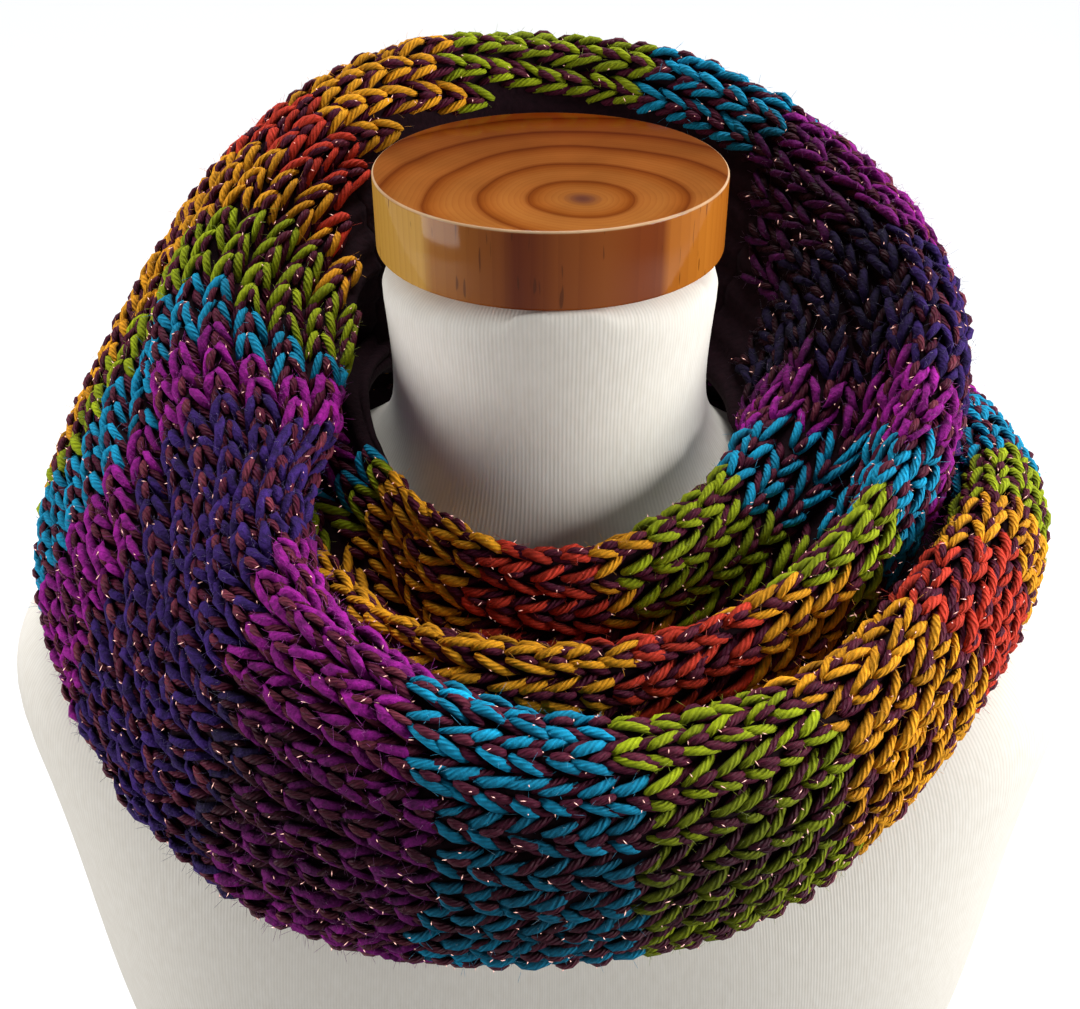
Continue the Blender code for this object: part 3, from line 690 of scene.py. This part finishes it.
def joined(name, corners, faces, material, dye=None, twist=None):
    """One smooth mesh of many copies of a shape, with a colour for each copy."""
    copies, points = corners.shape[:2]
    mesh = bpy.data.meshes.new(name)
    loops = np.concatenate([np.array(face) for face in faces])
    sizes = np.array([len(face) for face in faces])
    all_loops = (loops[None] + points * np.arange(copies)[:, None]).ravel()
    all_sizes = np.tile(sizes, copies)
    mesh.vertices.add(copies * points)
    mesh.vertices.foreach_set("co", corners.reshape(-1))
    mesh.loops.add(len(all_loops))
    mesh.loops.foreach_set("vertex_index", all_loops)
    mesh.polygons.add(len(all_sizes))
    mesh.polygons.foreach_set("loop_start", np.concatenate([[0], np.cumsum(all_sizes)[:-1]]))
    mesh.polygons.foreach_set("use_smooth", np.ones(len(all_sizes), bool))
    if dye is not None:
        layer = mesh.attributes.new("dye", "FLOAT_COLOR", "POINT")
        layer.data.foreach_set("color", np.repeat(dye, points, axis=0).reshape(-1))
    if twist is not None:
        layer = mesh.attributes.new("twist", "FLOAT_VECTOR", "POINT")
        layer.data.foreach_set("vector", twist.reshape(-1))
    mesh.update(calc_edges=True)
    mesh.materials.append(material)
    return put_in_scene(name, mesh)


PLIES = 6
PLY = 2.0 * MM                    # between one ridge of the twisted plies and the next
PLY_RELIEF = 0.25 * MM
FIBRE_MM = 1.111                  # fine fibre of the yarn's surface, drawn coarser than it is
TUFT_MM = 3.03                    # tufts that the brush raises


def yarn_material(name, roughness, gloss):
    """Soft plied wool yarn: its dye from the mesh, diagonal ridges where the plies twist, and painted shade
    in its hollows.
    """
    yarn, shader = new_material(name, {"Roughness": roughness, "Specular IOR Level": gloss})
    dyed = add_node(yarn, "Attribute", attribute_name="dye")
    twisted = add_node(yarn, "Attribute", attribute_name="twist")
    parts = add_node(yarn, "SeparateXYZ", {"Vector": twisted.outputs["Vector"]})
    angle = add_node(yarn, "Math", {0: parts.outputs["Y"], 1: parts.outputs["X"]}, operation="ARCTAN2")
    around = add_node(yarn, "Math", {0: angle.outputs[0], 1: float(PLIES)}, operation="MULTIPLY")
    phase = add_node(yarn, "Math", {
        0: parts.outputs["Z"], 1: 2 * pi / PLY, 2: around.outputs[0]}, operation="MULTIPLY_ADD")
    wave = add_node(yarn, "Math", {0: phase.outputs[0]}, operation="SINE")
    solid = add_node(yarn, "TexCoord")
    fibre = add_node(yarn, "TexNoise", {
        "Vector": solid.outputs["Object"], "Scale": 1 / (FIBRE_MM * MM), "Detail": 2.0})
    tuft = add_node(yarn, "TexNoise", {
        "Vector": solid.outputs["Object"], "Scale": 1 / (TUFT_MM * MM), "Detail": 3.0, "Roughness": 0.7})
    plied = add_node(yarn, "Math", {
        0: dyed.outputs["Alpha"], 1: -0.75, 2: 1.0}, operation="MULTIPLY_ADD")
    tufted = add_node(yarn, "Math", {
        0: dyed.outputs["Alpha"], 1: 5.0, 2: 0.4}, operation="MULTIPLY_ADD")
    ridges = add_node(yarn, "Math", {0: wave.outputs[0], 1: plied.outputs[0]}, operation="MULTIPLY")
    tufts = add_node(yarn, "Math", {
        0: tuft.outputs["Fac"], 1: tufted.outputs[0], 2: ridges.outputs[0]}, operation="MULTIPLY_ADD")
    height = add_node(yarn, "Math", {
        0: fibre.outputs["Fac"], 1: 1.5, 2: tufts.outputs[0]}, operation="MULTIPLY_ADD")
    bump = add_node(yarn, "Bump", {
        "Height": height.outputs[0], "Strength": 0.7, "Distance": PLY_RELIEF})
    # Painted shade: darker in the grooves between plies, on each leg's inward side, and in the hollows
    # between brushed tufts, a little lighter on their tops.
    ply_groove_shade = add_node(yarn, "MapRange", {
        "Value": ridges.outputs[0], "From Min": -1.0, "From Max": 0.2, "To Min": 0.76, "To Max": 1.0})
    inward_shade = add_node(yarn, "MapRange", {
        "Value": parts.outputs["Y"], "From Min": -0.5, "From Max": 0.8, "To Min": 0.22, "To Max": 1.0})
    tuft_hollow_shade = add_node(yarn, "MapRange", {
        "Value": tuft.outputs["Fac"], "From Min": 0.35, "From Max": 0.62, "To Min": 0.45, "To Max": 1.15})
    brushed_hollow_shade = add_node(yarn, "Mix", {
        0: tufted.outputs[0], 2: 1.0, 3: tuft_hollow_shade.outputs[0]}, data_type="FLOAT")
    # Painted shade of the ply grooves and of the inward side together.
    depth = add_node(yarn, "Math", {0: ply_groove_shade.outputs[0], 1: inward_shade.outputs[0]}, operation="MULTIPLY")
    painted_yarn_shade = add_node(yarn, "Math", {0: depth.outputs[0], 1: brushed_hollow_shade.outputs[0]}, operation="MULTIPLY")
    shaded = add_node(yarn, "Mix", {
        0: 1.0, 6: dyed.outputs["Color"], 7: painted_yarn_shade.outputs[0]}, data_type="RGBA", blend_type="MULTIPLY")
    yarn.node_tree.links.new(shaded.outputs[2], shader.inputs["Base Color"])
    yarn.node_tree.links.new(bump.outputs["Normal"], shader.inputs["Normal"])
    return yarn


# Wool, worsted spun and six-ply: matt, with a bloom of fibre and a twist that shows.
wool = yarn_material("dyed_plied_wool", 0.85, 0.2)
burgundy_wool = yarn_material("burgundy_plied_wool", 0.6, 0.12)
# Metallic filament run in with the yarns: it catches the light in rose and silver specks, and glows faintly.
foil, _ = new_material("rose_metallic_filament_painted_glow", {
    # Painted light: the emission makes the specks glow though they are no lamp.
    "Metallic": 0.6, "Roughness": 0.25, "Base Color": linear("#f0c0b8"), "Emission Color": linear("#ffc2b0"),
    "Emission Strength": 0.8})
# Loose wool fibres: as dyed, pale where the light comes through them.
fluff, fluff_shader = new_material("loose_wool_fibre", {"Roughness": 0.9, "Specular IOR Level": 0.1,
                                                        "Sheen Weight": 0.4})
fluff_dye = add_node(fluff, "Attribute", attribute_name="dye")
fluff.node_tree.links.new(fluff_dye.outputs["Color"], fluff_shader.inputs["Base Color"])
# Felted burgundy ground between the wales, where the stitches' backs lie close; painted near black, as
# shade.
FELT_MM = 2.381                   # from one bump to the next
ground, ground_shader = new_material("burgundy_rib_ground_painted_shade", {"Roughness": 0.95, "Specular IOR Level": 0.15})
on_ground = add_node(ground, "TexCoord")
felt = add_node(ground, "TexNoise", {
    "Vector": on_ground.outputs["Object"], "Scale": 1 / (FELT_MM * MM), "Detail": 3.0})
# Painted shade: the felt is near black, far darker than the burgundy yarn.
felt_and_shade = add_node(ground, "Mix", {
    0: felt.outputs["Fac"], 6: linear("#0b0408"), 7: linear("#2a121b")}, data_type="RGBA")
felt_bump = add_node(ground, "Bump", {"Height": felt.outputs["Fac"], "Strength": 0.7, "Distance": 0.8 * MM})
ground.node_tree.links.new(felt_and_shade.outputs[2], ground_shader.inputs["Base Color"])
ground.node_tree.links.new(felt_bump.outputs["Normal"], ground_shader.inputs["Normal"])

DYE_LEAD = 1.5                    # degrees from where a V starts to about its middle
DYE_UNEVEN = 0.13                 # how much the dye's depth differs from leg to leg
SUNK_SHADE = 0.62                   # painted shade that darkens the yarn where it is sunk
FOLD_SHADE = 0.78                   # and painted shade in the fold beside the neck
LUMPS = 0.1 * MM                  # of the dyed yarn's surface
BRUSHED_LUMPS = 2.2               # how much higher they are where it is brushed
BURGUNDY = np.array(linear("#561731"))
ROSE = np.array(linear("#8f3f4e"))

places = stitch_places()
stitch_dye = np.repeat(dye_at(places[:, 0] + DYE_LEAD, places[:, 1]), 2, axis=0)
brushed = stitch_dye[:, 3]
leg_places = np.repeat(places[:, :2], 2, axis=0).T
# Painted shade: the yarn is darkened low on the front wrap and in the fold beside the neck.
shade = (1 - SUNK_SHADE * sunk(*leg_places)) * (1 - FOLD_SHADE * painted_fold_shade(*leg_places))
stitch_dye[:, :3] *= (shade * np.exp(chance.normal(0.0, DYE_UNEVEN, len(stitch_dye))))[:, None]
leg_corners, leg_twist = legs_along_strip(places, LEG, LEAF_CORNERS)
under_corners, under_twist = legs_along_strip(places, UNDER_LEG, SLIM_CORNERS)
bar_corners, bar_twist = legs_along_strip(places, BAR, SLIM_CORNERS)
leg_corners += chance.normal(0.0, LUMPS, leg_corners.shape) * (1 + BRUSHED_LUMPS * brushed)[:, None, None]
# One bar to a V, on either side of it.
one_each = (np.arange(2 * len(places)) + chance.integers(0, 2, len(places)).repeat(2)) % 2 == 0


def burgundy_dye(rosiness):
    """Burgundy, turned towards rose here and there, and darkened by the same painted shade as the dyed legs.
    """
    rosy = (rosiness * chance.random(len(rosiness)) ** 1.5)[:, None]
    colour = (BURGUNDY * (1 - rosy) + ROSE * rosy) * shade[:, None]
    colour[:, 3] = 0.0
    return colour


# The bars are rosier than the legs under them, and both are rosier where the dyed yarn is brushed.
under_dye = burgundy_dye(0.15 + 0.10 * brushed)
bar_dye = burgundy_dye(0.35 + 0.40 * brushed)

GLINTS_PER_BAR = 0.6
GLINTS_PER_LEG = 0.27
GLINT_LENGTH = 1.8 * MM
GLINT_WIDTH = 0.36 * MM
GLINT_LIFT = 0.3                  # how far they turn out of the yarn, from 0 to 1
FIBRES_PER_LEG = 3.2
BRUSHED_FIBRES = 12.0             # on a leg of the fluffier colours
FIBRE_LENGTH = 4.2 * MM
FIBRE_WIDTH = 0.12 * MM
FIBRE_SPLAY = 0.75                # how far they lean every way
PROUD = 0.4                       # how far out a corner of a leg looks, from 0 to 1, to carry one


def slender(roots, directions, lengths, width, template):
    """Thin closed slivers at given roots: each the template stretched along its own direction."""
    helper = chance.normal(0.0, 1.0, roots.shape)
    across = np.cross(directions, helper)
    across /= np.linalg.norm(across, axis=1)[:, None]
    upright = np.cross(directions, across)
    x, y, z = (template[None, :, axis, None] for axis in range(3))
    return (roots[:, None] + directions[:, None] * (0.5 + 0.5 * z) * lengths[:, None, None]
            + (across[:, None] * x + upright[:, None] * y) * 0.5 * width)


def exposed(corners, twist, per_leg):
    """Random corners on the outward side of the legs: their places, directions and legs."""
    wanted = np.broadcast_to(per_leg, len(corners)) + chance.random(len(corners))
    leg = np.repeat(np.arange(len(corners)), wanted.astype(int))
    count = len(leg)
    proud = [k for k in range(corners.shape[1]) if twist[0, k, 1] > PROUD]
    corner = chance.choice(proud, count)
    spot = corners[leg, corner]
    middle = corners[leg].mean(axis=1)
    out = spot - middle
    return spot, out / np.linalg.norm(out, axis=1)[:, None], leg


def glint_corners(corners, twist, per_leg):
    """Specks of filament, lying along or standing a little off the legs."""
    spot, out, _ = exposed(corners, twist, per_leg)
    way = chance.normal(0.0, 1.0, spot.shape) + GLINT_LIFT * out
    way /= np.linalg.norm(way, axis=1)[:, None]
    length = GLINT_LENGTH * (0.6 + 0.8 * chance.random(len(spot)))
    return slender(spot - way * 0.5 * length[:, None], way, length, GLINT_WIDTH, GLINT_CORNERS)


def fibre_corners(corners, twist, dye):
    """Loose ends of wool that stand off the yarn, with their faces, material and dye."""
    spot, out, leg = exposed(corners, twist, FIBRES_PER_LEG + (BRUSHED_FIBRES - FIBRES_PER_LEG) * dye[:, 3])
    way = out + chance.normal(0.0, FIBRE_SPLAY, spot.shape)
    way /= np.linalg.norm(way, axis=1)[:, None]
    length = FIBRE_LENGTH * (0.35 + chance.random(len(spot)) ** 2)
    return slender(spot, way, length, FIBRE_WIDTH, FIBRE_CORNERS), FIBRE_FACES, fluff, dye[leg]


# ---- the scarf, stretch by stretch ----
# Each stretch is a ribbed ground with its own dyed stitches, burgundy stitches, filament and loose
# fibres. The knitting runs on from one stretch to the next without a seam.
GROUND_SHALLOW = 3.2 * MM         # from the tops of the ribs to the ground under a wale's middle
GROUND_DEEP = 6.0 * MM            # and between two wales
GROUND_WALL = 0.9 * MM
GROUND_ROW = 1.8                  # degrees between the rows of its grid
GROUND_STEPS = 4                  # faces across a wale
STRETCHES = {                     # first and last turn of each stretch, and what it rests on
    "scarf_front_wrap": (-40, 50, ["form_torso"]),
    "scarf_right_wrap": (50, 125, ["form_torso"]),
    "scarf_back_wrap": (125, 235, ["form_torso"]),
    "scarf_left_under_wrap": (235, 325, ["form_torso"]),
    "scarf_inner_front": (325, 400, ["scarf_front_wrap", "form_torso"]),
    "scarf_right_rise": (400, 485, ["scarf_right_wrap"]),
    "scarf_back_collar": (485, 595, ["scarf_back_wrap"]),
    "scarf_left_strand": (595, 680, ["scarf_left_under_wrap", "form_torso"]),
}
# How far the bare hems hang past the stitched strip, as shares of its width: (turn, neck side, outer side).
HEMS = ((-60, 0, 0), (45, 0, 0), (56, 0.16, 0), (92, 0.16, 0), (112, 0, 0), (190, 0, 0),
        (205, 0, 0.07), (250, 0, 0.07), (265, 0.035, 0), (300, 0.035, 0), (312, 0, 0),
        (555, 0, 0), (580, 0.11, 0), (628, 0.11, 0), (645, 0, 0), (700, 0, 0))
HEM_REACH = 0.03                  # share of the width next to a hem that gives the hem its direction
FLAP_END = 320.0                  # up to this turn the inner hem lies nearly level towards the neck
FLAP_DROP = 0.15                  # and falls by this much of its length


def ground_shape(first, last):
    """A grid laid along the strip below its stitches, in ribs, facing out."""
    shape = bmesh.new()
    bmesh.ops.create_grid(shape, x_segments=GROUND_STEPS * WALES,
                          y_segments=round((last - first) / GROUND_ROW), size=1.0)
    flat = np.array([corner.co for corner in shape.verts])
    turn = first + (last - first) * (0.5 + 0.5 * flat[:, 1])
    hem_turns, near_hem, far_hem = np.array(HEMS).T
    near, far = -np.interp(turn, hem_turns, near_hem), 1 + np.interp(turn, hem_turns, far_hem)
    share = near + (far - near) * (0.5 + 0.5 * flat[:, 0])
    rib = 0.5 + 0.5 * np.cos(2 * pi * (share - 0.5) * np.interp(turn, rows, STRIP_WIDTH) / WALE)
    drop = GROUND_DEEP - (GROUND_DEEP - GROUND_SHALLOW) * rib
    spots = on_strip(STRIP, turn, share) - on_strip(STRIP_OUT, turn, share) * drop[:, None]
    beyond = share - np.clip(share, 0.0, 1.0)
    inward = np.clip(share, HEM_REACH, 1 - HEM_REACH)
    run = on_strip(STRIP, turn, share) - on_strip(STRIP, turn, inward)
    turned_in = (turn < FLAP_END) & (beyond < 0)
    neckwards = -spots[turned_in] * (1, 1, 0)
    neckwards /= np.linalg.norm(neckwards, axis=1)[:, None]
    run[turned_in] = (neckwards - (0, 0, FLAP_DROP)) * np.linalg.norm(run[turned_in], axis=1)[:, None]
    spots += run * (np.abs(beyond) / HEM_REACH)[:, None]
    for corner, spot in zip(shape.verts, spots):
        corner.co = spot
    return shape


for name, (first, last, carriers) in STRETCHES.items():
    cloth = new_piece(name + "_ground", ground_shape(first, last), ground)
    wall = cloth.modifiers.new("wall", "SOLIDIFY")
    wall.thickness = GROUND_WALL
    wall.offset = -1.0
    here = np.repeat((places[:, 0] >= first) & (places[:, 0] < last), 2)
    bars = here & one_each
    knitting = [
        joined(name + "_dyed_stitches", leg_corners[here], LEAF_FACES, wool, stitch_dye[here],
               leg_twist[here]),
        joined(name + "_burgundy_stitches", np.concatenate([under_corners[here], bar_corners[bars]]),
               SLIM_FACES, burgundy_wool, np.concatenate([under_dye[here], bar_dye[bars]]),
               np.concatenate([under_twist[here], bar_twist[bars]])),
        joined(name + "_filament", np.concatenate([
            glint_corners(bar_corners[bars], bar_twist[bars], GLINTS_PER_BAR),
            glint_corners(under_corners[here], under_twist[here], GLINTS_PER_LEG),
            glint_corners(leg_corners[here], leg_twist[here], GLINTS_PER_LEG)]), GLINT_FACES, foil),
        joined(name + "_fibres", *fibre_corners(leg_corners[here], leg_twist[here], stitch_dye[here])),
    ]
    for piece in [cloth] + knitting:
        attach(piece, "root")
    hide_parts(name)
